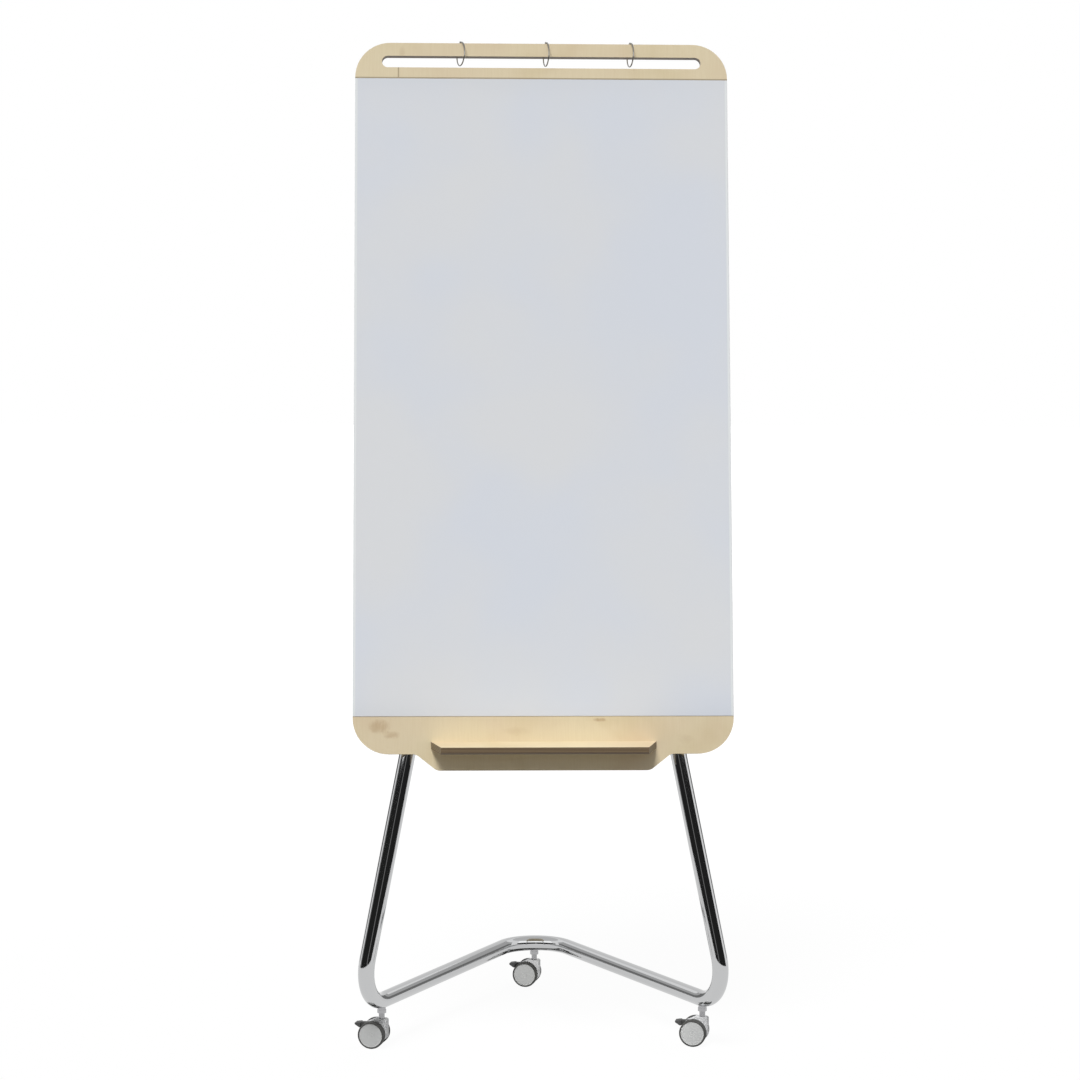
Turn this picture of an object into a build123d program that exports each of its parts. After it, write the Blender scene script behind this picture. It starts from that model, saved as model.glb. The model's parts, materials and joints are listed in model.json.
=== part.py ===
from build123d import *
from math import cos, radians, sin, tan
import os

# Glass flipchart easel on three swivel casters.
# Millimetres, +Z up, the writing face looks towards -Y, X to the right.
# The origin lies on the floor under the middle of the whole part's box.

# Writing board
board_width = 700.0
board_thickness = 15.0
board_corner_radius = 66.0
top_band_height = 68.0
bottom_band_height = 69.0
glass_height = 1197.0
glass_thickness = 4.0
steel_sheet_thickness = 0.5
steel_sheet_margin = 4.0
board_bottom_rise = 560.0
board_front_offset = -131.0
board_lean = 10.0

# Carrying tongue under the board
tongue_drop = 30.0
tongue_half_width_top = 234.0
tongue_half_width_bottom = 196.0
tongue_fillet = 18.0

# Slot for the hanging rings
slot_length = 600.0
slot_height = 22.0
slot_band_height = 25.0

# Shelf for pens
shelf_top_above_edge = 22.5
shelf_thickness = 13.0
shelf_depth = 73.0
shelf_half_width_rear = 207.0
shelf_half_width_front = 188.0
shelf_chamfer = 3.5
shelf_screw_spacing = 110.0
shelf_screw_count = 4
shelf_screw_radius = 2.0
shelf_screw_head_radius = 4.0
shelf_screw_head_height = 2.2
shelf_screw_grip = 28.0

# Bent tube frame
tube_diameter = 30.0
tube_wall = 2.0
tube_bend_radius = 75.0
tube_centre_height = 87.0
leg_splay = 10.9
leg_length = 1390.0
foot_corner_x = 340.0
rear_corner_depth = 625.6
end_cap_flange = 3.0
end_cap_plug = 18.0

# Mounting rails between the board and the legs
rail_thickness = 5.0
rail_height = 44.0
rail_overhang = 34.0
lower_rail_rise = 100.0
upper_rail_drop = 60.0
saddle_width = 46.0
saddle_clearance = 0.1
rail_screw_radius = 3.0
rail_screw_head_radius = 5.5
rail_screw_head_height = 3.3
rail_screw_socket_radius = 2.1
rail_screw_end_clearance = 1.0
rail_screw_inset = 22.0
rail_screw_rise_share = 0.25
rail_corner_radius = 11.0
insert_radius = 4.5
insert_depth = 8.5
leg_bolt_radius = 3.0
leg_bolt_head_radius = 5.0
leg_bolt_head_height = 5.0
leg_bolt_socket_radius = 2.4
leg_bolt_grip = 10.0

# Casters
wheel_diameter = 50.0
wheel_width = 14.5
tyre_thickness = 3.3
tyre_edge_fillet = 1.4
web_thickness = 17.0
wheel_side_gap = 0.5
caster_trail = 15.0
caster_yaw = 15.0
housing_top = 53.0
housing_front = 11.0
housing_wall = 4.0
axle_radius = 3.0
axle_head_radius = 4.6
axle_head_height = 1.0
running_clearance = 0.05
side_clearance = 0.3
cap_thickness = 2.2
cap_lip = 0.6
hub_radius = 6.5
wheel_disc_thickness = 2.5
wheel_disc_setback = 4.8
rim_wall = 2.6
foot_stem_distance = 88.0
stem_radius = 5.5
stem_pivot_radius = 4.5
stem_pivot_bottom = 20.0
stem_groove_depth = 0.7
stem_groove_width = 1.0
stem_groove_pitch = 2.0
boss_radius = 7.5
boss_drop = 1.5
boss_top_clearance = 1.0
nut_across_flats = 14.5
nut_height = 7.0

# Brake lever on each caster
lever_pivot_reach = 27.0
lever_pivot_height = 40.0
lever_hub_radius = 5.0
lever_hub_width = 9.0
lever_pin_radius = 1.5
lever_reach = 50.5
lever_pad_width = 16.0
lever_pad_start = 39.0
lever_tip_thickness = 2.4
lever_tip_drop = 1.5
lever_heel_reach = 42.0
lever_heel_drop = 4.5
lever_edge_fillet = 1.0
lever_ear_wall = 0.5
lever_pocket_wall = 1.5
lever_pocket_reach = 40.0
lever_pocket_drop = 32.0
lever_pocket_rise = 8.0
housing_link_half = 4.0

# Hanging rings
ring_outer_diameter = 46.0
ring_wire_diameter = 2.4
ring_rest_clearance = 0.3
ring_places = {"left": (-152.0, 19.0), "middle": (9.0, 12.0), "right": (168.0, 12.0)}
ring_knuckle_radius = 2.5
ring_knuckle_middle = 1.6
ring_knuckle_side = 1.2
ring_knuckle_gap = 0.1
ring_pin_radius = 0.7
ring_snap_gap = 0.2
ring_fork_height = 1.68

# Room that a cutting solid runs past the face that it cuts
cut_margin = 1.0

# Sizes that follow from the ones above
tube_radius = tube_diameter / 2
rebate_depth = glass_thickness + steel_sheet_thickness
board_height = top_band_height + glass_height + bottom_band_height
board_top_rise = board_bottom_rise + board_height
glass_bottom_rise = board_bottom_rise + bottom_band_height
slot_top_rise = board_top_rise - slot_band_height
slot_centre_rise = slot_top_rise - slot_height / 2
leg_depth = board_thickness + rail_thickness + tube_radius
wheel_radius = wheel_diameter / 2
core_radius = wheel_radius - tyre_thickness
wheel_inner_side = web_thickness / 2 + wheel_side_gap
wheel_outer_side = wheel_inner_side + wheel_width
boss_headroom = ((tube_radius - tube_wall) ** 2 - boss_radius ** 2) ** 0.5
boss_top = tube_centre_height + boss_headroom - boss_top_clearance
lean = radians(board_lean)
splay = radians(leg_splay)
shelf_top_height = board_bottom_rise * cos(lean) + shelf_top_above_edge

parts = {}


def board_frame(solid):
    # board frame: X right, Y into the board from its front face, Z up the slope from the floor line
    return Pos(0, board_front_offset, 0) * Rot(-board_lean, 0, 0) * solid


def board_point(x, depth, rise):
    y = board_front_offset + rise * sin(lean) + depth * cos(lean)
    return Vector(x, y, rise * cos(lean) - depth * sin(lean))


def block(x, y, z):
    # box between pairs of low and high corners
    size = (x[1] - x[0], y[1] - y[0], z[1] - z[0])
    return Pos((x[0] + x[1]) / 2, (y[0] + y[1]) / 2, (z[0] + z[1]) / 2) * Box(*size)


def rod_y(radius, start, end, x=0.0, z=0.0):
    # cylinder along Y from start to end
    return Pos(x, (start + end) / 2, z) * Rot(90, 0, 0) * Cylinder(radius, abs(end - start))


def rod_z(radius, bottom, top, x=0.0, y=0.0):
    # cylinder along Z from bottom to top
    return Pos(x, y, (bottom + top) / 2) * Cylinder(radius, top - bottom)


def extrude_y(sketch, start, end):
    # XZ outline drawn in the sketch plane, pushed from start to end along Y
    return Pos(0, end, 0) * Rot(90, 0, 0) * extrude(sketch, end - start)


# Places along the frame
foot_rise = (tube_centre_height + leg_depth * sin(lean)) / cos(lean)
foot_depth_point = board_point(0, leg_depth, foot_rise)
foot_y = foot_depth_point.Y
rear_corner = Vector(0, foot_y + rear_corner_depth, tube_centre_height)


def foot_corner(side):
    return Vector(side * foot_corner_x, foot_y, tube_centre_height)


def leg_direction(side):
    return Vector(-side * sin(splay), cos(splay) * sin(lean), cos(splay) * cos(lean))


def leg_x(side, rise):
    # X of a leg's centre line at a height measured up the board's slope
    return side * (foot_corner_x - (rise - foot_rise) * tan(splay))


def bent_path(points, radius):
    # straight runs joined by tangent arcs
    edges = []
    start = points[0]
    for before, corner, after in zip(points, points[1:], points[2:]):
        back = (before - corner).normalized()
        ahead = (after - corner).normalized()
        half = radians(back.get_angle(ahead) / 2)
        enter = corner + back * (radius / tan(half))
        leave = corner + ahead * (radius / tan(half))
        centre = corner + (back + ahead).normalized() * (radius / sin(half))
        middle = centre + (corner - centre).normalized() * radius
        edges.append(Line(start, enter))
        edges.append(ThreePointArc(enter, middle, leave))
        start = leave
    edges.append(Line(start, points[-1]))
    return Wire(edges)


def frame_points():
    left_top = foot_corner(-1) + leg_direction(-1) * leg_length
    right_top = foot_corner(1) + leg_direction(1) * leg_length
    return [left_top, foot_corner(-1), rear_corner, foot_corner(1), right_top]


def caster_stations():
    # stem axis of each caster: two near the feet on the arms and one under the rear bend
    stations = {}
    for name, side in (("front_left", -1), ("front_right", 1)):
        arm = (rear_corner - foot_corner(side)).normalized()
        stations[name] = foot_corner(side) + arm * foot_stem_distance
    arm = (foot_corner(1) - rear_corner).normalized()
    half = radians(Vector(0, -1, 0).get_angle(arm))
    apex_drop = tube_bend_radius / sin(half) - tube_bend_radius
    stations["rear"] = rear_corner - Vector(0, apex_drop, 0)
    return stations


# Rail places: height up the slope and half length
lower_rail = board_bottom_rise + lower_rail_rise
upper_rail = foot_rise + leg_length * cos(splay) - upper_rail_drop
rail_rises = {"lower": lower_rail, "upper": upper_rail}
stations = caster_stations()


def rail_half_length(rise):
    return leg_x(1, rise) + rail_overhang


def rail_screw_places(rise):
    # two screws near each end, one above the other
    reach = rail_half_length(rise) + rail_screw_inset
    spread = rail_height * rail_screw_rise_share
    return [(side * reach, rise + step) for side in (-1, 1) for step in (-spread, spread)]


rail_screws = [place for rise in rail_rises.values() for place in rail_screw_places(rise)]


# Bent tube: one length of tube with two feet and a rear bend
def make_frame_tube():
    points = frame_points()
    start = Plane(origin=points[0], z_dir=points[1] - points[0])
    ring = start * (Circle(tube_radius) - Circle(tube_radius - tube_wall))
    tube = sweep(ring, path=bent_path(points, tube_bend_radius))
    for station in stations.values():
        tube -= rod_z(boss_radius, 0, tube_centre_height, station.X, station.Y)
    for rise in rail_rises.values():
        for side in (-1, 1):
            hole = rod_y(leg_bolt_radius + running_clearance, 0, leg_depth + tube_diameter)
            tube -= board_frame(Pos(leg_x(side, rise), 0, rise) * hole)
    return tube


def make_end_caps():
    caps = []
    for side in (-1, 1):
        top = foot_corner(side) + leg_direction(side) * leg_length
        plane = Plane(origin=top, z_dir=leg_direction(side))
        flange = Pos(0, 0, end_cap_flange / 2) * Cylinder(tube_radius, end_cap_flange)
        dome = fillet(flange.edges().group_by(Axis.Z)[-1], end_cap_flange / 2)
        plug = Pos(0, 0, -end_cap_plug / 2) * Cylinder(tube_radius - tube_wall, end_cap_plug)
        caps.append(plane * (dome + plug))
    return Compound(children=caps)


# Rail: flat bar with two half-round saddles that seat on the legs
def make_rail(rise):
    half = rail_half_length(rise) + 2 * rail_screw_inset
    back = board_thickness + rail_thickness
    span = (rise - rail_height / 2, rise + rail_height / 2)
    bar = block((-half, half), (board_thickness, back), span)
    bar = fillet(bar.edges().filter_by(Axis.Y), rail_corner_radius)
    for side in (-1, 1):
        x = leg_x(side, rise)
        bar += block((x - saddle_width / 2, x + saddle_width / 2), (back, leg_depth), span)
    for side in (-1, 1):
        groove = Cylinder(tube_radius + saddle_clearance, 4 * rail_height)
        bar -= Pos(leg_x(side, rise), leg_depth, rise) * Rot(0, -side * leg_splay, 0) * groove
        bar -= Pos(leg_x(side, rise), 0, rise) * rod_y(leg_bolt_radius + running_clearance, 0, leg_depth)
    for x, z in rail_screw_places(rise):
        bar -= rod_y(rail_screw_radius + running_clearance, 0, leg_depth, x, z)
    return board_frame(bar)


def make_leg_bolts():
    bolts = []
    for rise in rail_rises.values():
        for side in (-1, 1):
            back = leg_depth + tube_radius
            shank = rod_y(leg_bolt_radius, board_thickness + running_clearance, back)
            head = rod_y(leg_bolt_head_radius, back, back + leg_bolt_head_height)
            socket = RegularPolygon(leg_bolt_socket_radius, 6)
            head -= extrude_y(socket, back + leg_bolt_head_height / 2, back + leg_bolt_head_height)
            bolts.append(board_frame(Pos(leg_x(side, rise), 0, rise) * (shank + head)))
    return Compound(children=bolts)


def make_rail_screws():
    screws = []
    back = board_thickness + rail_thickness
    for x, z in rail_screws:
        start = board_thickness - insert_depth + rail_screw_end_clearance
        shank = rod_y(rail_screw_radius, start, back, x, z)
        head = rod_y(rail_screw_head_radius, back, back + rail_screw_head_height, x, z)
        head = fillet(head.edges().group_by(Axis.Y)[-1], rail_screw_head_height / 2)
        outline = RegularPolygon(rail_screw_socket_radius, 6)
        socket = extrude_y(outline, back + rail_screw_head_height / 2, back + rail_screw_head_height)
        screws.append(board_frame(shank + head - Pos(x, 0, z) * socket))
    return Compound(children=screws)


def make_board_inserts():
    inserts = []
    for x, z in rail_screws:
        sleeve = rod_y(insert_radius, board_thickness - insert_depth, board_thickness, x, z)
        sleeve -= rod_y(rail_screw_radius, 0, board_thickness, x, z)
        inserts.append(board_frame(sleeve))
    return Compound(children=inserts)


# Board outline with its round corners and the tongue below
def board_outline():
    centre = (board_bottom_rise + board_top_rise) / 2
    sheet = Pos(0, centre) * RectangleRounded(board_width, board_height, board_corner_radius)
    low = board_bottom_rise - tongue_drop
    high = board_bottom_rise + board_corner_radius
    corners = [(-tongue_half_width_top, board_bottom_rise), (-tongue_half_width_bottom, low),
               (tongue_half_width_bottom, low), (tongue_half_width_top, board_bottom_rise),
               (tongue_half_width_top, high), (-tongue_half_width_top, high)]
    outline = sheet + make_face(Polyline(*corners, close=True))
    reach = tongue_half_width_top + cut_margin
    turns = [v for v in outline.vertices() if v.Y < board_bottom_rise + cut_margin and abs(v.X) < reach]
    return fillet(turns, tongue_fillet)


def shelf_screw_places():
    middle = (shelf_screw_count - 1) / 2
    return [(i - middle) * shelf_screw_spacing for i in range(shelf_screw_count)]


# The shelf screws run level, so their axis is tilted in the board's own frame
shelf_screw_height = shelf_top_height - shelf_thickness / 2


def shelf_screw_solid(radius, start, end, x):
    # level cylinder along Y, measured from the board's front face at the screw's height
    face_y = board_front_offset + shelf_screw_height * tan(lean)
    return rod_y(radius, face_y + start, face_y + end, x, shelf_screw_height)


def make_backboard():
    board = extrude_y(board_outline(), 0, board_thickness)
    board -= block((-board_width, board_width), (-cut_margin, rebate_depth),
                   (glass_bottom_rise, glass_bottom_rise + glass_height))
    slot = Pos(0, slot_centre_rise) * SlotOverall(slot_length, slot_height)
    board -= extrude_y(slot, -cut_margin, board_thickness + cut_margin)
    for x, z in rail_screws:
        start = board_thickness - insert_depth
        board -= rod_y(insert_radius, start, board_thickness + cut_margin, x, z)
    board = board_frame(board)
    for x in shelf_screw_places():
        board -= shelf_screw_solid(shelf_screw_radius, -board_thickness, 3 * board_thickness, x)
    return board


def make_glass_panel():
    low = glass_bottom_rise
    panel = block((-board_width / 2, board_width / 2), (0, glass_thickness), (low, low + glass_height))
    return board_frame(panel)


def make_steel_sheet():
    low = glass_bottom_rise + steel_sheet_margin
    high = glass_bottom_rise + glass_height - steel_sheet_margin
    half = board_width / 2 - steel_sheet_margin
    return board_frame(block((-half, half), (glass_thickness, rebate_depth), (low, high)))


# Shelf: level plate, trapezoid in plan, cut to the board's lean along its rear edge
def make_shelf():
    low = shelf_top_height - shelf_thickness
    face_y = board_front_offset + shelf_top_height * tan(lean)
    front_y = face_y - shelf_depth
    rear_y = face_y + board_thickness
    flare = (shelf_half_width_rear - shelf_half_width_front) / shelf_depth
    rear_half = shelf_half_width_front + flare * (rear_y - front_y)
    corners = [(-shelf_half_width_front, front_y), (shelf_half_width_front, front_y),
               (rear_half, rear_y), (-rear_half, rear_y)]
    plate = Pos(0, 0, low) * extrude(make_face(Polyline(*corners, close=True)), shelf_thickness)
    front_low = plate.edges().group_by(Axis.Z)[0].sort_by(Axis.Y)[0]
    plate = chamfer(front_low, shelf_chamfer)
    plate -= board_frame(block((-board_width, board_width), (0, 4 * board_width),
                               (0, 2 * board_top_rise)))
    for x in shelf_screw_places():
        plate -= shelf_screw_solid(shelf_screw_radius, -shelf_screw_grip, board_thickness, x)
    return plate


def make_shelf_screws():
    back = board_thickness / cos(lean)
    tilt_room = shelf_screw_head_radius * tan(lean)
    screws = []
    for x in shelf_screw_places():
        head_start = back + tilt_room
        shank = shelf_screw_solid(shelf_screw_radius, -shelf_screw_grip, head_start, x)
        head = shelf_screw_solid(shelf_screw_head_radius, head_start,
                                 head_start + shelf_screw_head_height, x)
        screws.append(shank + head)
    return Compound(children=screws)


# Hanging ring: two half rings, hinged at the top and snapped together below
ring_wire_radius = ring_wire_diameter / 2
ring_mid_radius = ring_outer_diameter / 2 - ring_wire_radius
ring_inner_radius = ring_mid_radius - ring_wire_radius


def ring_centre(place):
    # the ring hangs on the two corners of the band above the slot
    x, yaw = ring_places[place]
    half = board_thickness / 2 / cos(radians(yaw)) + ring_wire_radius * tan(radians(yaw))
    drop = (ring_inner_radius ** 2 - half ** 2) ** 0.5 - ring_rest_clearance
    return x, board_thickness / 2, board_top_rise - drop


def ring_frame(place, solid):
    x, depth, rise = ring_centre(place)
    return board_frame(Pos(x, depth, rise) * Rot(0, 0, ring_places[place][1]) * solid)


def half_ring(side):
    # wire in the ring's own YZ plane, from the top hinge to the snap at the bottom
    snap = ring_snap_gap / 2
    top = Vector(0, 0, ring_mid_radius)
    middle = Vector(0, side * ring_mid_radius, 0)
    low_z = -(ring_mid_radius ** 2 - snap ** 2) ** 0.5
    path = ThreePointArc(top, middle, Vector(0, side * snap, low_z))
    start = Plane(origin=top, z_dir=(0, side, 0))
    return sweep(start * Circle(ring_wire_radius), path=path)


def knuckle(start, end):
    barrel = Cylinder(ring_knuckle_radius, end - start)
    return Pos((start + end) / 2, 0, ring_mid_radius) * Rot(0, 90, 0) * barrel


def make_ring(place):
    half = ring_knuckle_middle / 2
    inner = half + ring_knuckle_gap
    outer = inner + ring_knuckle_side
    bore = Pos(0, 0, ring_mid_radius) * Rot(0, 90, 0)
    hub = bore * Cylinder(ring_knuckle_radius + ring_knuckle_gap, 2 * outer)
    swing = (half_ring(-1) - hub) + knuckle(-half, half)
    link = Pos(0, -ring_knuckle_radius, ring_mid_radius)
    tab = link * Box(ring_knuckle_middle, 2 * ring_knuckle_radius, 3 * ring_wire_radius)
    swing += half_ring(-1) & tab
    swing -= bore * Cylinder(ring_pin_radius + running_clearance, 2 * outer)
    still = half_ring(1) - hub
    for side in (-1, 1):
        ear = (inner, outer) if side > 0 else (-outer, -inner)
        still += knuckle(*ear)
        fork = Pos(side * (inner + outer) / 2, ring_knuckle_radius, ring_mid_radius)
        still += fork * Box(ring_knuckle_side, 2 * ring_knuckle_radius, ring_fork_height)
    still -= bore * Cylinder(ring_pin_radius, 2 * outer)
    pin = bore * Cylinder(ring_pin_radius, 2 * outer)
    parts[f"ring_{place}_rear_half"] = ring_frame(place, still)
    parts[f"ring_{place}_front_half"] = ring_frame(place, swing)
    parts[f"ring_{place}_hinge_pin"] = ring_frame(place, pin)


# Casters: the stem, nut and boss stay with the frame
def make_caster_bosses():
    bosses = []
    top = boss_top
    low = tube_centre_height - tube_radius - boss_drop
    for station in stations.values():
        boss = rod_z(boss_radius, low, top, station.X, station.Y)
        bosses.append(boss - rod_z(stem_radius, low, top, station.X, station.Y))
    return Compound(children=bosses)


def make_caster_stems():
    stems = []
    top = boss_top
    shoulder = housing_top + side_clearance
    nut_low = tube_centre_height - tube_radius - boss_drop - nut_height
    grooves = int((nut_low - shoulder) / stem_groove_pitch)
    for station in stations.values():
        stem = rod_z(stem_radius, shoulder, top) + rod_z(stem_pivot_radius, stem_pivot_bottom, shoulder)
        for i in range(grooves):
            level = shoulder + (i + 1) * stem_groove_pitch - stem_groove_width / 2
            groove = rod_z(stem_radius + cut_margin, level, level + stem_groove_width)
            stem -= groove - rod_z(stem_radius - stem_groove_depth, 0, top)
        stems.append(Pos(station.X, station.Y, 0) * stem)
    return Compound(children=stems)


def make_stem_nuts():
    nuts = []
    top = tube_centre_height - tube_radius - boss_drop
    for station in stations.values():
        outline = RegularPolygon(nut_across_flats / 2, 6, major_radius=False)
        nut = Pos(0, 0, top - nut_height) * extrude(outline, nut_height)
        nut -= rod_z(stem_radius, 0, top + cut_margin)
        nuts.append(Pos(station.X, station.Y, 0) * nut)
    return Compound(children=nuts)


# Caster frame: the stem is at the origin and the wheels trail towards -X
def caster_frame(name, solid):
    station = stations[name]
    return Pos(station.X, station.Y, 0) * Rot(0, 0, -caster_yaw) * solid


def housing_outline():
    round_axle = Pos(-caster_trail, wheel_radius) * Circle(hub_radius + housing_wall)
    low = stem_pivot_bottom - housing_wall
    middle_x = (housing_front - caster_trail) / 2
    size = (housing_front + caster_trail, housing_top - low)
    body = Pos(middle_x, (housing_top + low) / 2) * RectangleRounded(*size, housing_wall)
    reach = -lever_pivot_reach
    ear_radius = lever_hub_radius + lever_ear_wall
    ear = Pos(reach, lever_pivot_height) * Circle(ear_radius)
    inner = -caster_trail + housing_link_half
    outer = -caster_trail - housing_link_half
    corners = [(reach, lever_pivot_height + ear_radius), (inner, housing_top), (inner, wheel_radius),
               (outer, wheel_radius), (reach, lever_pivot_height - ear_radius)]
    return round_axle + body + ear + make_face(Polyline(*corners, close=True))


def make_housing():
    half = web_thickness / 2
    body = extrude_y(housing_outline(), -half, half)
    body -= rod_z(stem_pivot_radius + running_clearance, stem_pivot_bottom - side_clearance, housing_top)
    body -= rod_y(axle_radius, -half, half, -caster_trail, wheel_radius)
    pocket = Pos(-lever_pivot_reach, lever_pivot_height) * Circle(lever_hub_radius + lever_pocket_wall)
    room = Pos(-lever_pivot_reach, lever_pivot_height + lever_pocket_rise)
    corner = (Align.MAX, Align.MAX)
    pocket += room * Rectangle(lever_pocket_reach, lever_pocket_rise + lever_pocket_drop, align=corner)
    cheek = lever_hub_width / 2 + side_clearance
    body -= extrude_y(pocket, -cheek, cheek)
    body -= rod_y(lever_pin_radius, -half, half, -lever_pivot_reach, lever_pivot_height)
    return body


def make_lever():
    # pedal: a wedge that thins towards its tip, wider beyond the wheels than at its hub
    half = lever_hub_width / 2
    reach = -lever_pivot_reach
    top = lever_pivot_height + lever_hub_radius
    tip_top = top - lever_tip_drop
    low = lever_pivot_height - lever_hub_radius
    heel = lever_pivot_height - lever_heel_drop
    outline = make_face(Polyline((reach, top), (-lever_heel_reach, top), (-lever_reach, tip_top),
                                 (-lever_reach, tip_top - lever_tip_thickness),
                                 (-lever_heel_reach, heel), (reach, low), close=True))
    blade = extrude_y(outline, -half, half)
    beyond = block((-lever_reach, -lever_pad_start), (-lever_pad_width, lever_pad_width), (low, top))
    pad = extrude_y(outline, -lever_pad_width / 2, lever_pad_width / 2) & beyond
    pad = fillet(pad.edges().filter_by(Axis.Z).group_by(Axis.X)[0], lever_edge_fillet)
    hub = rod_y(lever_hub_radius, -half, half, reach, lever_pivot_height)
    bore = rod_y(lever_pin_radius + running_clearance, -half, half, reach, lever_pivot_height)
    return hub + blade + pad - bore


def make_axle():
    end = wheel_outer_side - cap_thickness - side_clearance - axle_head_height
    rod = rod_y(axle_radius, -end, end, -caster_trail, wheel_radius)
    for side in (-1, 1):
        head = side * (end + axle_head_height)
        rod += rod_y(axle_head_radius, side * end, head, -caster_trail, wheel_radius)
    return rod


def turned(profile, side):
    # profile points are (radius, distance from the caster's middle plane)
    face = make_face(Polyline(*[(r, side * w) for r, w in profile], close=True))
    return Pos(-caster_trail, 0, wheel_radius) * revolve(face, Axis.Y)


def make_wheel(name, label, side):
    inner = wheel_inner_side
    outer = wheel_outer_side - cap_thickness
    hub_outer = outer - axle_head_height - 2 * side_clearance
    bore = axle_radius + running_clearance
    rim = core_radius - rim_wall
    disc = inner + wheel_disc_setback
    core = turned([(bore, inner), (hub_radius, inner), (hub_radius, disc), (rim, disc), (rim, inner),
                   (core_radius, inner), (core_radius, outer), (rim, outer),
                   (rim, disc + wheel_disc_thickness), (hub_radius, disc + wheel_disc_thickness),
                   (hub_radius, hub_outer), (bore, hub_outer)], side)
    shoulder = wheel_radius - tyre_edge_fillet
    tyre = turned([(core_radius, inner), (shoulder, inner), (wheel_radius, inner + tyre_edge_fillet),
                   (wheel_radius, wheel_outer_side - tyre_edge_fillet), (shoulder, wheel_outer_side),
                   (core_radius, wheel_outer_side)], side)
    cap = turned([(0, outer), (core_radius, outer), (core_radius, wheel_outer_side - cap_lip),
                  (core_radius - cap_lip, wheel_outer_side), (0, wheel_outer_side)], side)
    parts[f"{name}_{label}_wheel_core"] = caster_frame(name, core)
    parts[f"{name}_{label}_wheel_tyre"] = caster_frame(name, tyre)
    parts[f"{name}_{label}_wheel_cap"] = caster_frame(name, cap)


def make_caster(name):
    parts[f"{name}_swivel_housing"] = caster_frame(name, make_housing())
    parts[f"{name}_axle"] = caster_frame(name, make_axle())
    parts[f"{name}_brake_lever"] = caster_frame(name, make_lever())
    half = web_thickness / 2
    pin = rod_y(lever_pin_radius, -half, half, -lever_pivot_reach, lever_pivot_height)
    parts[f"{name}_lever_pin"] = caster_frame(name, pin)
    make_wheel(name, "near", -1)
    make_wheel(name, "far", 1)


parts["frame_tube"] = make_frame_tube()
parts["tube_end_caps"] = make_end_caps()
parts["lower_rail"] = make_rail(rail_rises["lower"])
parts["upper_rail"] = make_rail(rail_rises["upper"])
parts["leg_bolts"] = make_leg_bolts()
parts["rail_screws"] = make_rail_screws()
parts["board_inserts"] = make_board_inserts()
parts["backboard"] = make_backboard()
parts["steel_sheet"] = make_steel_sheet()
parts["glass_panel"] = make_glass_panel()
parts["pen_shelf"] = make_shelf()
parts["shelf_screws"] = make_shelf_screws()
for place in ring_places:
    make_ring(place)
parts["caster_bosses"] = make_caster_bosses()
parts["caster_stems"] = make_caster_stems()
parts["stem_lock_nuts"] = make_stem_nuts()
for name in stations:
    make_caster(name)

# The origin goes under the middle of the whole box
lows = [part.bounding_box().min.Y for part in parts.values()]
highs = [part.bounding_box().max.Y for part in parts.values()]
middle_y = (min(lows) + max(highs)) / 2

os.makedirs("parts", exist_ok=True)
for node, part in parts.items():
    export_step(Pos(0, -middle_y, 0) * part, f"parts/{node}.step")
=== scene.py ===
import json
from math import cos, pi, radians, sin, tan

import bpy
from mathutils import Matrix, Vector

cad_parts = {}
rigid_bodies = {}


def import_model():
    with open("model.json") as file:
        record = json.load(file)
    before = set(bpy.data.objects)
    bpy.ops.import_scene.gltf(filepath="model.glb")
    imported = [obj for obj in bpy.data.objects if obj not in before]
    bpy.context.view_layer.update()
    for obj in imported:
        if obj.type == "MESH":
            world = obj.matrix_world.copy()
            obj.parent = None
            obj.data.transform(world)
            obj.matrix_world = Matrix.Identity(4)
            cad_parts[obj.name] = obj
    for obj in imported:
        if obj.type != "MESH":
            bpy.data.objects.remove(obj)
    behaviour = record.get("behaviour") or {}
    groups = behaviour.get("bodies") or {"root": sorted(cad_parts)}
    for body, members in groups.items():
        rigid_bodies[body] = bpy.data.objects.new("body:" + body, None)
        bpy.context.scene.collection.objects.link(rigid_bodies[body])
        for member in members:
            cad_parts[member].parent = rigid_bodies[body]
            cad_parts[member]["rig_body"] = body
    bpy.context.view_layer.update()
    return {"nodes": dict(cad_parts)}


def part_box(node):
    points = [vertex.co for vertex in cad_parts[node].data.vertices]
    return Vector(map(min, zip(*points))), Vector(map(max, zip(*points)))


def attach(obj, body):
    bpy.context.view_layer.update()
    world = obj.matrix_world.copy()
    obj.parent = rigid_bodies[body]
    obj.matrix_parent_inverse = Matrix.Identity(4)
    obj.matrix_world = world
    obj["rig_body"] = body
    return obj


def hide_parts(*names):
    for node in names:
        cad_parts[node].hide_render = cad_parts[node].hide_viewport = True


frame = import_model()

# Frame tube: one length of 30 mm steel tube, bent at both feet and at the rear, then bright
# chrome plated. The modelled copy is swept finer than the construction solid, so that the long
# reflections along the legs and round the bends run clean.


class Value:
    """A socket of a finish's node tree. Sums, products and quotients of values add Math nodes."""

    def __init__(self, finish, socket):
        self.finish = finish
        self.socket = socket

    def math(self, operation, *others):
        return self.finish.node("Math", {"operation": operation}, dict(enumerate((self, *others))))

    def __add__(self, other):
        return self.math("ADD", other)

    __radd__ = __add__

    def __sub__(self, other):
        return self.math("SUBTRACT", other)

    def __rsub__(self, other):
        return (self * -1).math("ADD", other)

    def __mul__(self, other):
        return self.math("MULTIPLY", other)

    __rmul__ = __mul__

    def __truediv__(self, other):
        return self.math("DIVIDE", other)

    def rise(self, low, high):
        # 0 below low, 1 above high and a soft step between them
        return self.finish.node("MapRange", {"interpolation_type": "SMOOTHSTEP"},
                                {"Value": self, "From Min": low, "From Max": high})

    def band(self, middle, half, soft):
        # 1 within half of the middle, falling to 0 over soft
        return 1 - (self - middle).math("ABSOLUTE").rise(half, half + soft)


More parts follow.
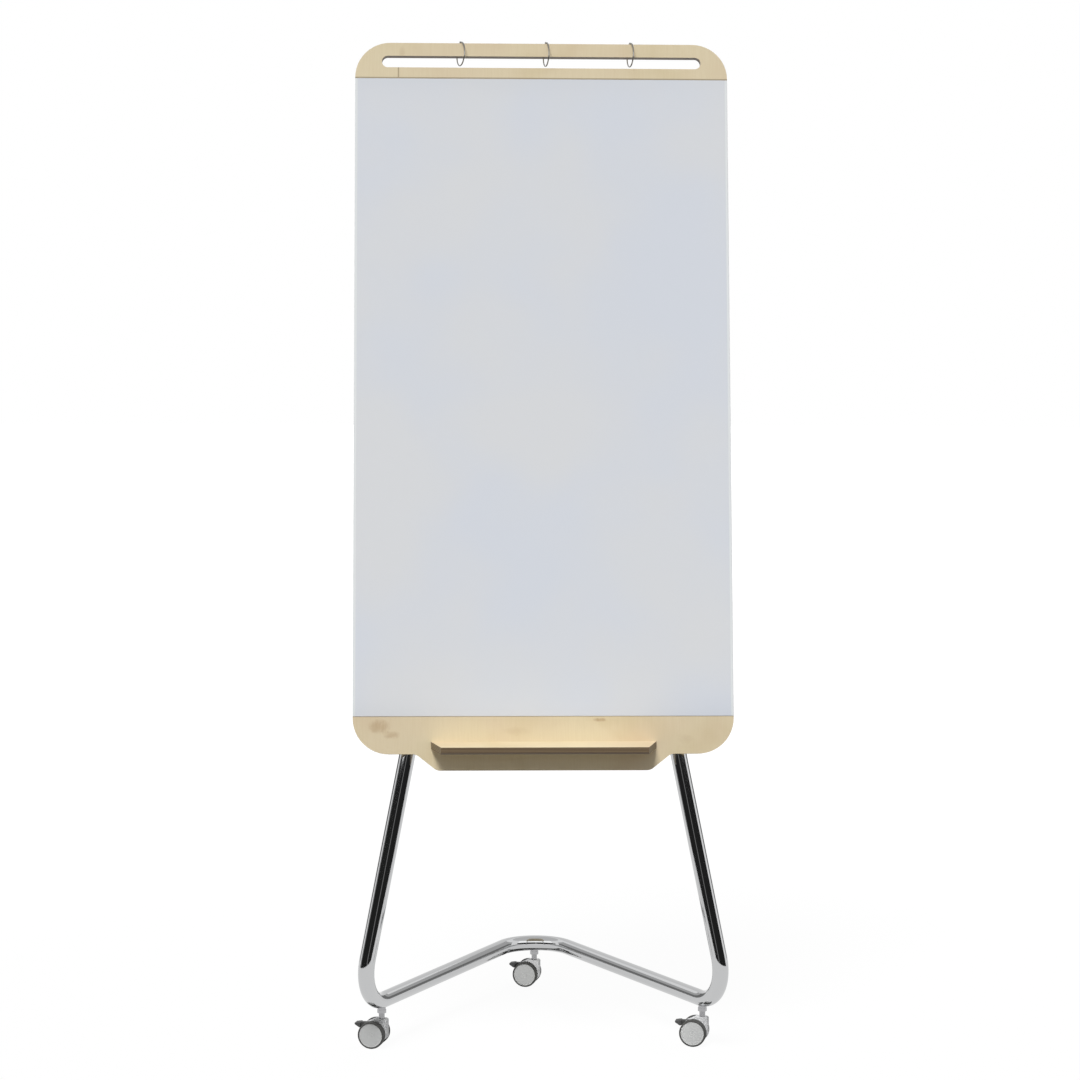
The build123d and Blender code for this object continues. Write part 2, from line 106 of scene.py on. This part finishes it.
class Finish:
    """One procedural surface finish: a Principled shader and the nodes that vary it."""

    def __init__(self, name):
        self.material = bpy.data.materials.new(name)
        self.material.use_nodes = True
        self.tree = self.material.node_tree
        self.shader = self.tree.nodes["Principled BSDF"]

    def node(self, kind, settings=None, inputs=None, output=0):
        node = self.tree.nodes.new("ShaderNode" + kind)
        for setting, choice in (settings or {}).items():
            setattr(node, setting, choice)
        for socket, given in (inputs or {}).items():
            self.join(node.inputs[socket], given)
        return Value(self, node.outputs[output])

    def join(self, socket, given):
        if isinstance(given, Value):
            self.tree.links.new(given.socket, socket)
        elif isinstance(given, tuple) and len(given) == 3 and socket.type == "RGBA":
            socket.default_value = (*given, 1)
        else:
            socket.default_value = given

    def set(self, **sockets):
        # socket names are written with underscores
        for name, given in sockets.items():
            self.join(self.shader.inputs[name.replace("_", " ")], given)
        return self

    def place(self):
        return self.node("TexCoord", output="Object")

    def facing(self):
        return self.node("TexCoord", output="Normal")

    def mapped(self, vector, place=(0, 0, 0), turn=(0, 0, 0), size=(1, 1, 1)):
        # a point seen from a frame that stands at place, turned and sized
        return self.node("Mapping", {"vector_type": "TEXTURE"},
                         {"Vector": vector, "Location": place, "Rotation": turn, "Scale": size})

    def noise(self, vector, scale, detail=2.0, roughness=0.5, distortion=0.0):
        return self.node("TexNoise", None, {"Vector": vector, "Scale": scale, "Detail": detail,
                                            "Roughness": roughness, "Distortion": distortion})

    def axes(self, vector):
        parts = self.node("SeparateXYZ", None, {"Vector": vector})
        outputs = parts.socket.node.outputs
        return Value(self, outputs["X"]), Value(self, outputs["Y"]), Value(self, outputs["Z"])

    def along(self, vector, direction):
        return self.node("VectorMath", {"operation": "DOT_PRODUCT"}, {0: vector, 1: direction},
                         output="Value")

    def mix(self, share, first, second):
        return self.node("Mix", {"data_type": "RGBA"}, {0: share, 6: first, 7: second}, output=2)

    def bump(self, height, distance, strength=1.0):
        normal = self.node("Bump", None, {"Strength": strength, "Distance": distance,
                                          "Height": height})
        return self.set(Normal=normal)


def srgb(red, green, blue):
    # a colour written as screen values from 0 to 255
    def linear(level):
        level = level / 255
        return level / 12.92 if level <= 0.04045 else ((level + 0.055) / 1.055) ** 2.4
    return linear(red), linear(green), linear(blue)


def dress(piece, finish):
    piece.data.materials.clear()
    piece.data.materials.append(finish.material)


def dress_node(node, finish):
    # a construction node keeps its shape and takes a better finish
    piece = frame["nodes"][node]
    for slot in piece.material_slots:
        slot.material = finish.material
    if not piece.material_slots:
        piece.data.materials.append(finish.material)


def chrome_finish(name, colour, roughness, streak_scale):
    finish = Finish(name)
    place = finish.place()
    haze = finish.noise(place, 9, 3)
    streaks = finish.noise(finish.mapped(place, size=(1, 1, 6)), streak_scale, 4, 0.6)
    finish.set(Base_Color=colour, Metallic=1.0)
    finish.set(Roughness=roughness + 0.03 * haze.rise(0.4, 0.75) + 0.02 * streaks)
    return finish.bump(streaks, 0.00001, 0.15)


tube_chrome = chrome_finish("chrome_tube", (0.6, 0.605, 0.61), 0.045, 320)

board_lean = radians(10)
board_thickness = 0.015
glass_thickness = 0.004
glass_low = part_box("glass_panel")[0]
glass_bottom_rise = (glass_low.z + glass_thickness * sin(board_lean)) / cos(board_lean)
board_foot = Vector((0, glass_low.y - glass_bottom_rise * sin(board_lean), 0))
board_turn = Matrix.Rotation(-board_lean, 4, "X")


def board_point(x, depth, rise):
    # a place in the board's own frame: across, into the board from its face, up the slope
    return board_foot + board_turn @ Vector((x, depth, rise))


tube_radius = 0.015
tube_wall = 0.002
tube_bend_radius = 0.075
tube_centre_z = 0.087
tube_sides = 64
bend_steps = 28
leg_depth = 0.035
leg_length = 1.390
leg_splay = radians(10.9)
smooth_angle = radians(35)
tube_merge_distance = 0.00001
foot_corner_x = 0.340
rear_corner_depth = 0.6256
foot_rise = (tube_centre_z + leg_depth * sin(board_lean)) / cos(board_lean)
foot_y = board_point(0, leg_depth, foot_rise).y
leg_rise = Vector((-sin(leg_splay), cos(leg_splay) * sin(board_lean),
                   cos(leg_splay) * cos(board_lean)))


def mirrored(vector):
    return Vector((-vector.x, vector.y, vector.z))


right_foot = Vector((foot_corner_x, foot_y, tube_centre_z))
right_top = right_foot + leg_rise * leg_length
rear_corner = Vector((0, foot_y + rear_corner_depth, tube_centre_z))
tube_corners = [mirrored(right_top), mirrored(right_foot), rear_corner, right_foot, right_top]


def make_active(piece):
    # the piece becomes the only selected one
    bpy.ops.object.select_all(action="DESELECT")
    piece.select_set(True)
    bpy.context.view_layer.objects.active = piece


def finished(piece, name):
    # the piece takes its name and its place goes into its mesh
    piece.name = name
    bpy.ops.object.mode_set(mode="OBJECT")
    make_active(piece)
    bpy.ops.object.transform_apply(location=True, rotation=True, scale=True)
    return piece


def start_ring(centre, direction, radius, sides):
    # an open ring square to a direction, in edit mode and selected
    bpy.ops.object.select_all(action="DESELECT")
    turn = direction.to_track_quat("Z", "Y").to_euler()
    bpy.ops.mesh.primitive_circle_add(vertices=sides, radius=radius, location=centre, rotation=turn)
    ring = bpy.context.object
    bpy.ops.object.transform_apply(location=True, rotation=True, scale=True)
    bpy.ops.object.mode_set(mode="EDIT")
    bpy.ops.mesh.select_all(action="SELECT")
    return ring


def bent_tube(corners, radius, bend_radius, sides, steps):
    # drawn out along each straight run and spun round each bend
    place = corners[0]
    ring = start_ring(place, corners[1] - corners[0], radius, sides)
    for before, corner, after in zip(corners, corners[1:], corners[2:]):
        back = (before - corner).normalized()
        ahead = (after - corner).normalized()
        half = back.angle(ahead) / 2
        enter = corner + back * bend_radius / tan(half)
        centre = corner + (back + ahead).normalized() * bend_radius / sin(half)
        bpy.ops.mesh.extrude_region_move(TRANSFORM_OT_translate={"value": enter - place})
        bpy.ops.mesh.spin(steps=steps, angle=pi - 2 * half, center=centre, axis=back.cross(ahead))
        place = corner + ahead * bend_radius / tan(half)
    bpy.ops.mesh.extrude_region_move(TRANSFORM_OT_translate={"value": corners[-1] - place})
    bpy.ops.mesh.select_all(action="SELECT")
    bpy.ops.mesh.remove_doubles(threshold=tube_merge_distance)
    bpy.ops.mesh.normals_make_consistent(inside=False)
    return ring


def with_modifier(piece, kind, **settings):
    modifier = piece.modifiers.new(kind.lower(), kind)
    for setting, choice in settings.items():
        setattr(modifier, setting, choice)
    make_active(piece)
    bpy.ops.object.modifier_apply(modifier=modifier.name)


def smooth(piece):
    make_active(piece)
    bpy.ops.object.shade_smooth_by_angle(angle=smooth_angle)


tube = finished(bent_tube(tube_corners, tube_radius, tube_bend_radius, tube_sides, bend_steps),
                "frame_tube_plated")
with_modifier(tube, "SOLIDIFY", thickness=tube_wall, offset=-1)
smooth(tube)
dress(tube, tube_chrome)
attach(tube, "frame")
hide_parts("frame_tube")

# Tube end caps: black moulded plastic plugs with a fine matt texture and eased edges, pushed
# into the two open tube ends behind the board.
end_cap_ease = 0.0008
cap_black = Finish("black_cap_plastic")
grain = cap_black.noise(cap_black.place(), 1800, 3, 0.6)
cap_black.set(Base_Color=cap_black.mix(grain, (0.018, 0.018, 0.019), (0.035, 0.035, 0.036)))
cap_black.set(Roughness=0.55 + 0.1 * grain)
cap_black.bump(grain, 0.00004, 0.4)
merge_distance = 0.000005
flat_angle = radians(0.5)
sharp_angle = radians(32)


def eased_copy(node, name, finish, ease):
    # a copy of a construction solid with its sharp edges broken by a small round
    source = frame["nodes"][node]
    piece = bpy.data.objects.new(name, source.data.copy())
    bpy.context.collection.objects.link(piece)
    make_active(piece)
    bpy.ops.object.mode_set(mode="EDIT")
    bpy.ops.mesh.select_all(action="SELECT")
    bpy.ops.mesh.remove_doubles(threshold=merge_distance)
    bpy.ops.mesh.dissolve_limited(angle_limit=flat_angle)
    bpy.ops.object.mode_set(mode="OBJECT")
    with_modifier(piece, "BEVEL", width=ease, segments=2, limit_method="ANGLE",
                  angle_limit=sharp_angle, use_clamp_overlap=True)
    smooth(piece)
    with_modifier(piece, "WEIGHTED_NORMAL", weight=100, keep_sharp=True)
    dress(piece, finish)
    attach(piece, source["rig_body"])
    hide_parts(node)


eased_copy("tube_end_caps", "tube_end_plugs", cap_black, end_cap_ease)

# Caster bosses, stems and lock nuts: turned steel, bright plated. The threaded sleeves are
# pressed into the tube, and each stem is screwed in and held by its nut.
nut_ease = 0.0006
fitting_plate = chrome_finish("plated_steel", (0.44, 0.44, 0.45), 0.12, 700)
for node in ("caster_bosses", "caster_stems"):
    dress_node(node, fitting_plate)
eased_copy("stem_lock_nuts", "stem_lock_nuts_eased", fitting_plate, nut_ease)

# Caster housings: moulded light grey hoods that swing without limit on the stems. Each one
# stands between its two wheels and carries the axle and the brake lever.
caster_names = ("front_left", "front_right", "rear")
housing_ease = 0.0008
hood_grey = Finish("light_grey_plastic")
sheen = hood_grey.noise(hood_grey.place(), 1400, 3, 0.55)
hood_grey.set(Base_Color=hood_grey.mix(sheen, srgb(216, 217, 218), srgb(226, 227, 228)))
hood_grey.set(Roughness=0.36 + 0.1 * sheen)
hood_grey.bump(sheen, 0.00003, 0.3)
for caster in caster_names:
    eased_copy(f"{caster}_swivel_housing", f"{caster}_hood", hood_grey,
               housing_ease)

# Axles and lever pins: turned steel, bright plated like the stems. Each axle is pressed
# through its housing, and each pin holds a brake lever between the housing's cheeks.
for caster in caster_names:
    dress_node(f"{caster}_axle", fitting_plate)
    dress_node(f"{caster}_lever_pin", fitting_plate)

# Brake levers: dark grey moulded wedges that turn on their pins. Each thins towards a tip that
# stands out beyond the wheels, where a foot presses it down.
lever_ease = 0.0005
pedal_grey = Finish("dark_lever_plastic")
matt = pedal_grey.noise(pedal_grey.place(), 1500, 3, 0.6)
pedal_grey.set(Base_Color=pedal_grey.mix(matt, srgb(66, 66, 66), srgb(82, 82, 82)))
pedal_grey.set(Roughness=0.48 + 0.12 * matt)
pedal_grey.bump(matt, 0.00004, 0.35)
for caster in caster_names:
    eased_copy(f"{caster}_brake_lever", f"{caster}_pedal", pedal_grey,
               lever_ease)

# Wheel cores: grey moulded discs with hubs, two to a caster, that turn on the axle's two ends.
# The tyre and the cap hide most of each core.
wheel_sides = ("near", "far")
disc_grey = Finish("grey_wheel_plastic")
fine = disc_grey.noise(disc_grey.place(), 1600, 3, 0.6)
disc_grey.set(Base_Color=disc_grey.mix(fine, srgb(196, 197, 196), srgb(203, 204, 203)))
disc_grey.set(Roughness=0.42 + 0.12 * fine)
disc_grey.bump(fine, 0.00003, 0.3)
for caster in caster_names:
    for side in wheel_sides:
        dress_node(f"{caster}_{side}_wheel_core", disc_grey)

# Tyres: soft dark grey treads moulded round the wheel cores, with rubbed running faces and
# rounded shoulders.
tyre_ease = 0.0006
tread_grey = Finish("dark_tyre")
rub = tread_grey.noise(tread_grey.place(), 700, 4, 0.65)
tread_grey.set(Base_Color=tread_grey.mix(rub, srgb(62, 62, 61), srgb(84, 84, 82)))
tread_grey.set(Roughness=0.62 + 0.15 * rub)
tread_grey.bump(rub, 0.00006, 0.4)
for caster in caster_names:
    for side in wheel_sides:
        eased_copy(f"{caster}_{side}_wheel_tyre", f"{caster}_{side}_tyre", tread_grey,
                   tyre_ease)

# Wheel caps: grey moulded discs snapped into the outer sides of the wheels. Each has a raised
# rim and a shallow round recess in the middle.
caster_yaw = radians(15)
wheel_axis = Vector((sin(caster_yaw), cos(caster_yaw), 0))
cap_thickness = 0.0022
cap_rim_width = 0.0012
cap_step = 0.00025
cap_recess_radius = 0.0045
cap_ease = 0.00035
cap_sharp_angle = radians(30)
cap_sides = 72
facing_limit = 0.9


def select_facing(piece, direction):
    # in edit mode, the faces that look along a direction
    bpy.ops.mesh.select_all(action="DESELECT")
    bpy.ops.object.mode_set(mode="OBJECT")
    for face in piece.data.polygons:
        face.select = face.normal.dot(direction) > facing_limit
    bpy.ops.object.mode_set(mode="EDIT")
    bpy.ops.mesh.select_mode(type="FACE")


def wheel_cover(node, name, outward):
    # drawn as a plain disc, then let in twice from its outer face
    low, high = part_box(node)
    radius = (high.z - low.z) / 2
    bpy.ops.object.select_all(action="DESELECT")
    bpy.ops.mesh.primitive_cylinder_add(vertices=cap_sides, radius=radius, depth=cap_thickness,
                                        location=(low + high) / 2,
                                        rotation=outward.to_track_quat("Z", "Y").to_euler())
    cover = finished(bpy.context.object, name)
    bpy.ops.object.mode_set(mode="EDIT")
    select_facing(cover, outward)
    bpy.ops.mesh.inset(thickness=cap_rim_width)
    bpy.ops.mesh.inset(thickness=cap_step, depth=-cap_step)
    bpy.ops.mesh.inset(thickness=radius - cap_rim_width - 3 * cap_step - cap_recess_radius)
    bpy.ops.mesh.inset(thickness=cap_step, depth=-cap_step)
    bpy.ops.mesh.inset(thickness=cap_recess_radius / 3)
    bpy.ops.object.mode_set(mode="OBJECT")
    with_modifier(cover, "BEVEL", width=cap_ease, segments=3, limit_method="ANGLE",
                  angle_limit=cap_sharp_angle)
    smooth(cover)
    with_modifier(cover, "WEIGHTED_NORMAL", weight=100, keep_sharp=True)
    dress(cover, disc_grey)
    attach(cover, frame["nodes"][node]["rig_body"])
    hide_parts(node)


for caster in caster_names:
    for side, outward in zip(wheel_sides, (-wheel_axis, wheel_axis)):
        wheel_cover(f"{caster}_{side}_wheel_cap", f"{caster}_{side}_wheel_cover", outward)

# Lower and upper rail: flat steel bars with half-round saddles, powder coated black. They are
# screwed on the back of the board, and the legs lie bolted in the saddles.
rail_ease = 0.0009
rail_black = Finish("black_steel")
peel = rail_black.noise(rail_black.place(), 900, 2, 0.5)
rail_black.set(Base_Color=rail_black.mix(peel, (0.022, 0.022, 0.023), (0.04, 0.04, 0.041)))
rail_black.set(Roughness=0.4 + 0.15 * peel)
rail_black.bump(peel, 0.00005, 0.5)
for node in ("lower_rail", "upper_rail"):
    eased_copy(node, f"{node}_coated", rail_black, rail_ease)

# Leg bolts and rail screws: zinc plated steel with hexagon sockets. The bolts go through tube
# and saddle, and the screws hold the rails on the board.
bolt_ease = 0.0004
zinc = chrome_finish("zinc_fixings", (0.52, 0.53, 0.55), 0.28, 900)
for node in ("leg_bolts", "rail_screws"):
    eased_copy(node, f"{node}_plated", zinc, bolt_ease)

# Board inserts: threaded zinc plated sleeves, sunk in the board from behind, that take the rail
# screws.
dress_node("board_inserts", zinc)

# Backboard: 15 mm birch plywood with clear satin lacquer. It leans back, its outline is cut
# with round corners, and its edges are sanded to a small radius that shows the plies.
board_normal = (0, -cos(board_lean), sin(board_lean))
ply_count = 11
ply_pitch = board_thickness / ply_count
face_light = srgb(231, 216, 182)
face_dark = srgb(209, 189, 144)
face_pink = srgb(218, 193, 164)
pore_brown = srgb(168, 140, 100)
knot_brown = srgb(164, 124, 70)
joint_brown = srgb(126, 100, 70)
# ply edge colours, darker than bare plies: their own tone plus painted shade on edges turned from
# the light
edge_light = srgb(148, 128, 99)
edge_dark = srgb(90, 71, 49)
end_grain_brown = srgb(96, 76, 52)
fibre_width = 0.006
fibre_length = 0.12
joint_half_width = 0.0007
joint_softness = 0.0012
joint_end = 0.002
# width and softness of the painted shadow lines where the wood meets the glass
shadow_line_half_width = 0.0006
shadow_line_softness = 0.0008


def plywood(name, through, along, frame_place, frame_turn, face_normal, knots=(), joints=(),
            shadow_lines=()):
    # through: index of the axis that crosses the plies; along: index of the axis of the grain
    # knots: x, rise, half width, half height and depth; joints: x, low, high and depth
    # the last argument gives the rise and depth of thin painted shadow lines where the wood meets
    # the glass
    finish = Finish(name)
    place = finish.mapped(finish.place(), frame_place, frame_turn)
    axes = finish.axes(place)
    grain_size = [fibre_width, fibre_width, fibre_width]
    grain_size[along] = fibre_length
    fibre = finish.noise(finish.mapped(place, size=tuple(grain_size)), 2.2, 5, 0.62, 0.3)
    pore_size = tuple(side / 5 for side in grain_size)
    pores = finish.noise(finish.mapped(place, size=pore_size), 1.6, 3, 0.7)
    clouds = finish.noise(place, 9, 2, 0.5, 0.6)
    blush = finish.noise(finish.mapped(place, place=(0.3, 0, 0.2)), 5.5, 2, 0.5)
    flecks = finish.noise(place, 60, 3, 0.6, 0.8)
    colour = finish.mix(0.2 * fibre.rise(0.3, 0.75), face_light, face_dark)
    colour = finish.mix(0.5 * clouds.rise(0.38, 0.8), colour, face_dark)
    colour = finish.mix(0.4 * blush.rise(0.42, 0.72), colour, face_pink)
    colour = finish.mix(0.16 * pores.rise(0.62, 0.8), colour, pore_brown)
    front = 1 - axes[through].rise(0.4 * board_thickness, 0.6 * board_thickness)
    for x, rise, wide, high, depth in knots:
        u = (axes[0] - x) / wide
        v = (axes[2] - rise) / high
        ragged = u * u + v * v + 2.0 * (flecks - 0.5) + 1.0 * (fibre - 0.5)
        colour = finish.mix(depth * front * (1 - ragged.rise(-0.3, 0.9)), colour, knot_brown)
    for x, low, high, depth in joints:
        line = axes[0].band(x, joint_half_width, joint_softness)
        line = line * axes[2].rise(low, low + joint_end)
        line = line * (1 - axes[2].rise(high - joint_end, high))
        colour = finish.mix(depth * front * line, colour, joint_brown)
    # painted shade: a thin darker line on the wood along the glass's edge
    for rise, depth in shadow_lines:
        line = axes[2].band(rise, shadow_line_half_width, shadow_line_softness)
        colour = finish.mix(depth * front * line, colour, edge_dark)
    layer = (axes[through] / (2 * ply_pitch)).math("FRACT").band(0.5, 0.2, 0.1)
    end_fibre = finish.noise(finish.mapped(place, size=(0.004, 0.004, 0.004)), 3, 3, 0.6)
    # edges take the darkened ply colours, partly painted shade
    edge = finish.mix(layer, edge_light, edge_dark)
    edge = finish.mix(0.35 * end_fibre, edge, end_grain_brown)
    showing = 1 - finish.along(finish.facing(), face_normal).math("ABSOLUTE").rise(0.86, 0.985)
    finish.set(Base_Color=finish.mix(showing, colour, edge))
    finish.set(Roughness=0.42 + 0.1 * fibre, Coat_Weight=0.12, Coat_Roughness=0.3)
    return finish.bump(0.7 * fibre + 0.3 * pores, 0.00012, 0.35)


knot_places = [(-0.302, 0.611, 0.026, 0.015, 0.4), (-0.277, 0.595, 0.017, 0.009, 0.35),
               (0.104, 0.6226, 0.014, 0.0045, 0.55), (-0.262, 1.876, 0.008, 0.014, 0.2),
               (-0.05, 0.602, 0.03, 0.01, 0.15), (0.26, 0.588, 0.02, 0.012, 0.15)]
joint_places = [(-0.269, 1.827, 1.848, 0.55)]
# painted shadow lines on the wood along the top and the bottom edge of the glass
rebate_shadow_lines = [(1.8272, 0.55), (0.6288, 0.25)]
board_ease = 0.0013
board_ply = plywood("birch_plywood", 1, 2, tuple(board_foot), (-board_lean, 0, 0), board_normal,
                    knot_places, joint_places, rebate_shadow_lines)
eased_copy("backboard", "backboard_sanded", board_ply, board_ease)

# Steel sheet: thin white painted sheet that lies in the board's rebate behind the glass, and
# lets magnets hold.
sheet_white = Finish("steel_sheet")
dapple = sheet_white.noise(sheet_white.place(), 500, 2)
sheet_white.set(Base_Color=sheet_white.mix(dapple, (0.8, 0.82, 0.83), (0.86, 0.87, 0.87)))
sheet_white.set(Roughness=0.45 + 0.1 * dapple)
dress_node("steel_sheet", sheet_white)

# Glass panel: toughened glass backed with white, laid into the board's rebate from edge to
# edge. Its edges are ground and polished, and a paler clear strip shows along the long ones.
rim_start, rim_full = 0.3445, 0.3465
glass_ease = 0.0009
glass_white = Finish("white_glass")
tint = glass_white.noise(glass_white.place(), 3, 2)
glass_x = glass_white.axes(glass_white.place())[0].math("ABSOLUTE")
rim = glass_x.rise(rim_start, rim_full)
body = glass_white.mix(tint.rise(0.35, 0.65), srgb(224, 229, 238), srgb(229, 231, 234))
glass_white.set(Base_Color=glass_white.mix(0.8 * rim, body, srgb(240, 244, 244)))
ripple = glass_white.noise(glass_white.place(), 7, 2)
glass_white.set(Roughness=0.06 + 0.04 * ripple, IOR=1.5)
eased_copy("glass_panel", "glass_panel_polished", glass_white, glass_ease)

# Pen shelf: a level plate of the same plywood, screwed through the board from behind, with a
# chamfer under its front edge. Its screws are zinc plated.
shelf_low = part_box("pen_shelf")[0]
shelf_place = (0, shelf_low.y, shelf_low.z)
shelf_ease = 0.0007
# the shelf's front edge and chamfer take the same darkened edge colours, partly painted shade
shelf_ply = plywood("shelf_plywood", 2, 0, shelf_place, (0, 0, 0), (0, 0, 1))
eased_copy("pen_shelf", "pen_shelf_sanded", shelf_ply, shelf_ease)
dress_node("shelf_screws", zinc)

# Hanging rings: three split rings of nickel plated wire that hang in the slot round the top
# band. The front half of each swings open on a hinge pin at the top and snaps shut below.
nickel = chrome_finish("nickel_ring", (0.34, 0.325, 0.3), 0.16, 900)
for place in ("left", "middle", "right"):
    for half in ("rear_half", "front_half", "hinge_pin"):
        dress_node(f"ring_{place}_{half}", nickel)

# Studio: a white floor that keeps a faint shadow, a white surround, and grey and bright cards
# that only show in gloss. They give the polished tube its dark bands and white lines.
floor_radius = 40.0
floor_albedo = 0.22
floor_glow = 1.14
gloss_share = 0.84
near_share = 0.84
shadow_end, plain_start = 1.2, 4.0
bpy.ops.object.select_all(action="DESELECT")
bpy.ops.mesh.primitive_circle_add(vertices=96, radius=floor_radius, fill_type="NGON")
floor = bpy.context.object
floor.name = "studio_floor"
floor_white = Finish("studio_floor")
floor_white.set(Base_Color=(floor_albedo,) * 3, Roughness=0.9, Specular_IOR_Level=0.1)
rays = floor_white.node("LightPath").socket.node.outputs
seen = Value(floor_white, rays["Is Camera Ray"])
seen = seen + gloss_share * Value(floor_white, rays["Is Glossy Ray"])
away = floor_white.node("VectorMath", {"operation": "LENGTH"}, {0: floor_white.place()},
                        output="Value")
glow = floor_white.node("Emission", None, {"Color": (1, 1, 1, 1), "Strength": floor_glow})
surface = Value(floor_white, floor_white.shader.outputs["BSDF"])
share = (near_share + (1 - near_share) * away.rise(shadow_end, plain_start)) * seen
lifted = floor_white.node("MixShader", None, {0: share, 1: surface, 2: glow})
floor_white.join(floor_white.tree.nodes["Material Output"].inputs["Surface"], lifted)
dress(floor, floor_white)

flag_near, flag_far = 1.45, 3.0
flag_top = 1.22
flag_reach = radians(77)
flag_steps = 48
camera_bearing = radians(-90)


def curved_card(name, rungs, middle, reach, strength):
    # a card bent round the easel, given as rungs of radius and height, that shows in gloss only
    points = []
    for radius, level in rungs:
        for step in range(flag_steps + 1):
            bearing = camera_bearing + middle + reach * (2 * step / flag_steps - 1)
            points.append((radius * cos(bearing), radius * sin(bearing), level))
    row = flag_steps + 1
    faces = [(r * row + i, r * row + i + 1, (r + 1) * row + i + 1, (r + 1) * row + i)
             for r in range(len(rungs) - 1) for i in range(flag_steps)]
    mesh = bpy.data.meshes.new(name)
    mesh.from_pydata(points, [], faces)
    card = bpy.data.objects.new(name, mesh)
    bpy.context.collection.objects.link(card)
    paint = Finish(name)
    paint.set(Base_Color=(0, 0, 0), Roughness=1.0, Specular_IOR_Level=0.0)
    paint.set(Emission_Color=(1, 1, 1), Emission_Strength=strength)
    dress(card, paint)
    card.visible_camera = False
    card.visible_diffuse = False
    card.visible_shadow = False
    card.visible_transmission = False


before_flag = flag_far - 0.02
flag_low = 0.003
before_low = 0.006
soft_box_top = 3.2
side_bearing = radians(132)
side_reach = radians(24)
curved_card("studio_flag", [(flag_near, flag_low), (flag_far, flag_low), (flag_far, flag_top)], 0,
            flag_reach, 0.02)
curved_card("studio_flag_seam",
            [(flag_near, before_low), (before_flag, before_low), (before_flag, flag_top)],
            radians(-4), radians(4), 0.22)
curved_card("studio_flag_end",
            [(flag_near, before_low), (flag_far, before_low), (flag_far, flag_top)],
            radians(-83), radians(7), 0.27)
curved_card("studio_soft_box", [(flag_far, flag_top + 0.02), (flag_far, soft_box_top)], 0,
            radians(75), 1.4)
curved_card("studio_ceiling", [(0.05, soft_box_top + 0.5), (flag_far, soft_box_top + 0.02)], 0, pi,
            0.67)
for side, sign in (("left", -1), ("right", 1)):
    curved_card(f"studio_side_{side}", [(flag_far, 0.0), (flag_far, 1.0)], sign * side_bearing,
                side_reach, 0.21)
    curved_card(f"studio_side_upper_{side}", [(flag_far, 1.0), (flag_far, 1.9)],
                sign * side_bearing, side_reach, 0.5)
curved_card("studio_back", [(flag_far, 0.1), (flag_far, 2.7)], pi, radians(23), 0.8)

world = bpy.data.worlds.new("studio")
bpy.context.scene.world = world
world.use_nodes = True
world_nodes = world.node_tree.nodes
world_links = world.node_tree.links
soft = world_nodes["Background"]
soft.inputs["Color"].default_value = (1, 1, 1, 1)
soft.inputs["Strength"].default_value = 0.25
backdrop = world_nodes.new("ShaderNodeBackground")
backdrop.inputs["Color"].default_value = (1, 1, 1, 1)
backdrop.inputs["Strength"].default_value = 1.0
paths = world_nodes.new("ShaderNodeLightPath")
white_rays = paths.outputs["Is Camera Ray"]
for ray in ("Is Glossy Ray", "Is Transmission Ray"):
    either = world_nodes.new("ShaderNodeMath")
    either.operation = "MAXIMUM"
    world_links.new(white_rays, either.inputs[0])
    world_links.new(paths.outputs[ray], either.inputs[1])
    white_rays = either.outputs[0]
blend = world_nodes.new("ShaderNodeMixShader")
world_links.new(white_rays, blend.inputs[0])
world_links.new(soft.outputs[0], blend.inputs[1])
world_links.new(backdrop.outputs[0], blend.inputs[2])
world_links.new(blend.outputs[0], world_nodes["World Output"].inputs["Surface"])


def add_lamp(name, kind, place, aim, **settings):
    # a lamp that lights the easel but never shows as a shape in the polished metal
    data = bpy.data.lights.new(name, kind)
    for setting, choice in settings.items():
        setattr(data, setting, choice)
    lamp = bpy.data.objects.new(name, data)
    bpy.context.collection.objects.link(lamp)
    lamp.location = place
    lamp.rotation_euler = (Vector(aim) - Vector(place)).to_track_quat("-Z", "Y").to_euler()
    lamp.visible_glossy = False
    lamp.visible_camera = False


add_lamp("key", "SUN", (-1.0, -2.6, 4.7), (0, 0, 0), energy=2.85, angle=radians(22))
add_lamp("back_fill", "AREA", (1.5, 3.2, 3.6), (0, 0.1, 0.9), shape="DISK", size=2.5, energy=60)
add_lamp("low_fill", "SPOT", (0, -2.8, 0.14), (0, 0.4, 0.05), energy=205, shadow_soft_size=0.12,
         spot_size=radians(13), spot_blend=0.8)

# Camera: the photograph's viewpoint, a little left of the middle and just above waist height,
# with a long lens.
camera_data = bpy.data.cameras.new("camera")
camera = bpy.data.objects.new("camera", camera_data)
bpy.context.collection.objects.link(camera)
camera_data.sensor_width = 36
camera_data.lens = 87.452
camera.location = (-0.17455, -4.99422, 1.29075)
heading = Matrix.Rotation(radians(-2.0008), 4, "Z")
pitch = Matrix.Rotation(radians(90 - 4.1528), 4, "X")
roll = Matrix.Rotation(radians(0.1694), 4, "Z")
camera.rotation_euler = (heading @ pitch @ roll).to_euler()
bpy.context.scene.camera = camera
bpy.context.scene.view_settings.view_transform = "Standard"
